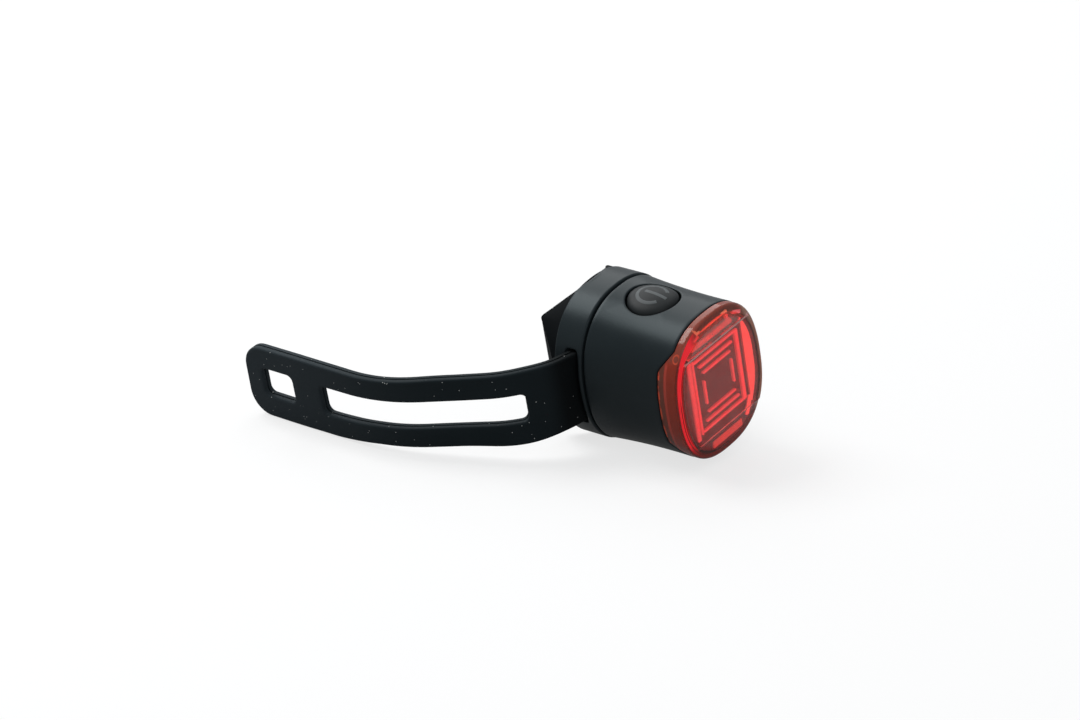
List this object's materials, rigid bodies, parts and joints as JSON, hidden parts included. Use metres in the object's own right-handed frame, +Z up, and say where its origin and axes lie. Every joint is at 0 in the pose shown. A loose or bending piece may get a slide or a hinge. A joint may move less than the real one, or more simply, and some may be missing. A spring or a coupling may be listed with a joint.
{
  "type": "bicycle rear light",
  "caption": "Small rechargeable bicycle rear light: rounded-square black housing, red lens, push button, saddle pad and a slotted silicone strap that hooks round the seat post.",
  "frame": {"origin": "on the axis of the seat post, at the light's middle height", "axes": "+Z up along the seat post, the lens faces -Y and the strap leaves the -X side"},
  "size_m": [0.061, 0.0941, 0.0342],
  "materials": {
    "shell": "satin black moulded plastic",
    "lens": "clear red moulded plastic",
    "seal": "black silicone",
    "optic": "polished red light guide",
    "reflector": "white moulded plastic",
    "board": "green circuit board",
    "led": "LED package",
    "switch": "black moulded plastic",
    "plunger": "white moulded plastic",
    "button": "black rubber with a grey symbol",
    "steel": "plated steel",
    "rubber": "matt black silicone",
    "cell": "foil pouch",
    "foam": "soft foam",
    "strap": "matt black silicone"
  },
  "bodies": {
    "light": {"housing": "shell", "lens": "lens", "lens_seal": "seal", "optic": "optic", "reflector": "reflector", "led_board": "board", "leds": "led", "main_board": "board", "tact_switch": "switch", "usb_socket": "steel", "usb_tongue": "switch", "battery": "cell", "battery_foam": "foam", "rear_cover": "shell", "cover_seal": "seal", "cover_screws": "steel", "saddle_pad": "rubber", "strap_anchor": "strap"},
    "button": {"button": "button", "switch_plunger": "plunger"},
    "flap": {"port_flap": "rubber"},
    "strap": {"strap": "strap"}
  },
  "joints": [
    {"name": "button_press", "type": "slide", "parent": "light", "child": "button", "axis": [0, 0, -1], "range_m": [0, 0.0006], "stiffness_N_per_m": 3000},
    {"name": "strap_bend", "type": "hinge", "parent": "light", "child": "strap", "pos_m": [-0.01644, -0.01574, 0], "axis": [0, 0, 1], "range_deg": [-55, 40], "stiffness_Nm_per_rad": 0.01},
    {"name": "flap_open", "type": "hinge", "parent": "light", "child": "flap", "pos_m": [0, -0.02305, -0.01597], "axis": [1, 0, 0], "range_deg": [0, 90]}
  ]
}
